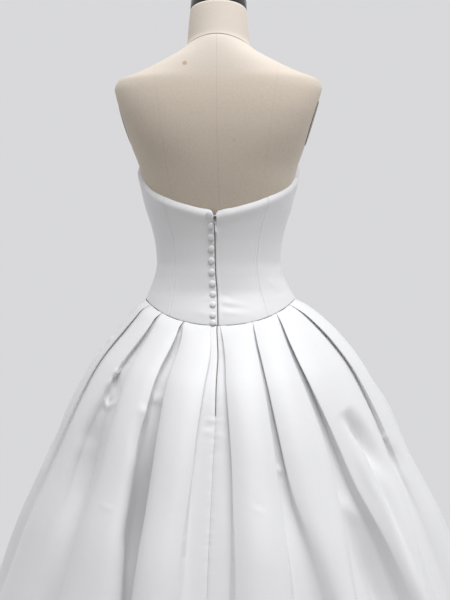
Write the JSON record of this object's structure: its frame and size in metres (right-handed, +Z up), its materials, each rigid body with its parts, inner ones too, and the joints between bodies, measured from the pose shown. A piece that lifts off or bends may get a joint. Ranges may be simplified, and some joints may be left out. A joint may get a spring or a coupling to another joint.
{
  "type": "strapless ball gown on a dress form",
  "caption": "Full-length strapless satin ball gown with a seamed bodice, a row of covered buttons beside a back zip and a box-pleated skirt, on a limbless dress form with pole and round base",
  "frame": {"origin": "centre of the stand base's underside, on the floor, with the pole on the Z axis", "axes": "+Z up; the gown's back faces -Y and its front +Y; +X is the wearer's right, and picture right"},
  "size_m": [1.1747, 1.1655, 1.6006],
  "materials": {
    "form_cover": "beige linen jersey stretched over padding",
    "cap_gloss": "gloss black",
    "plate_dark": "dark brown satin",
    "pole_steel": "brushed",
    "base_paint": "black powder coat",
    "satin": "cool white duchess satin",
    "zip_tape": "white woven tape",
    "zip_metal": "nickel plated",
    "zip_enamel": "white enamel"
  },
  "bodies": {
    "gown": {"dress_form": "form_cover", "neck_cap": "cap_gloss", "arm_plate_left": "plate_dark", "arm_plate_right": "plate_dark", "pole": "pole_steel", "base": "base_paint", "bodice_centre_front": "satin", "bodice_side_front_left": "satin", "bodice_side_front_right": "satin", "bodice_side_back_left": "satin", "bodice_side_back_right": "satin", "bodice_centre_back_left": "satin", "bodice_centre_back_right": "satin", "skirt_front": "satin", "skirt_side_left": "satin", "skirt_side_right": "satin", "skirt_back_left": "satin", "skirt_back_right": "satin", "zip_tape": "zip_tape", "zip_slider": "zip_metal", "button_01": "satin", "button_02": "satin", "button_03": "satin", "button_04": "satin", "button_05": "satin", "button_06": "satin", "button_07": "satin", "button_08": "satin", "button_09": "satin", "button_10": "satin", "button_11": "satin"},
    "pull": {"zip_pull": "zip_enamel"}
  },
  "joints": [
    {"name": "pull_swing", "type": "hinge", "parent": "gown", "child": "pull", "pos_m": [-0.00133, -0.09924, 1.14552], "axis": [-1, 0, 0], "range_deg": [0, 150]}
  ]
}
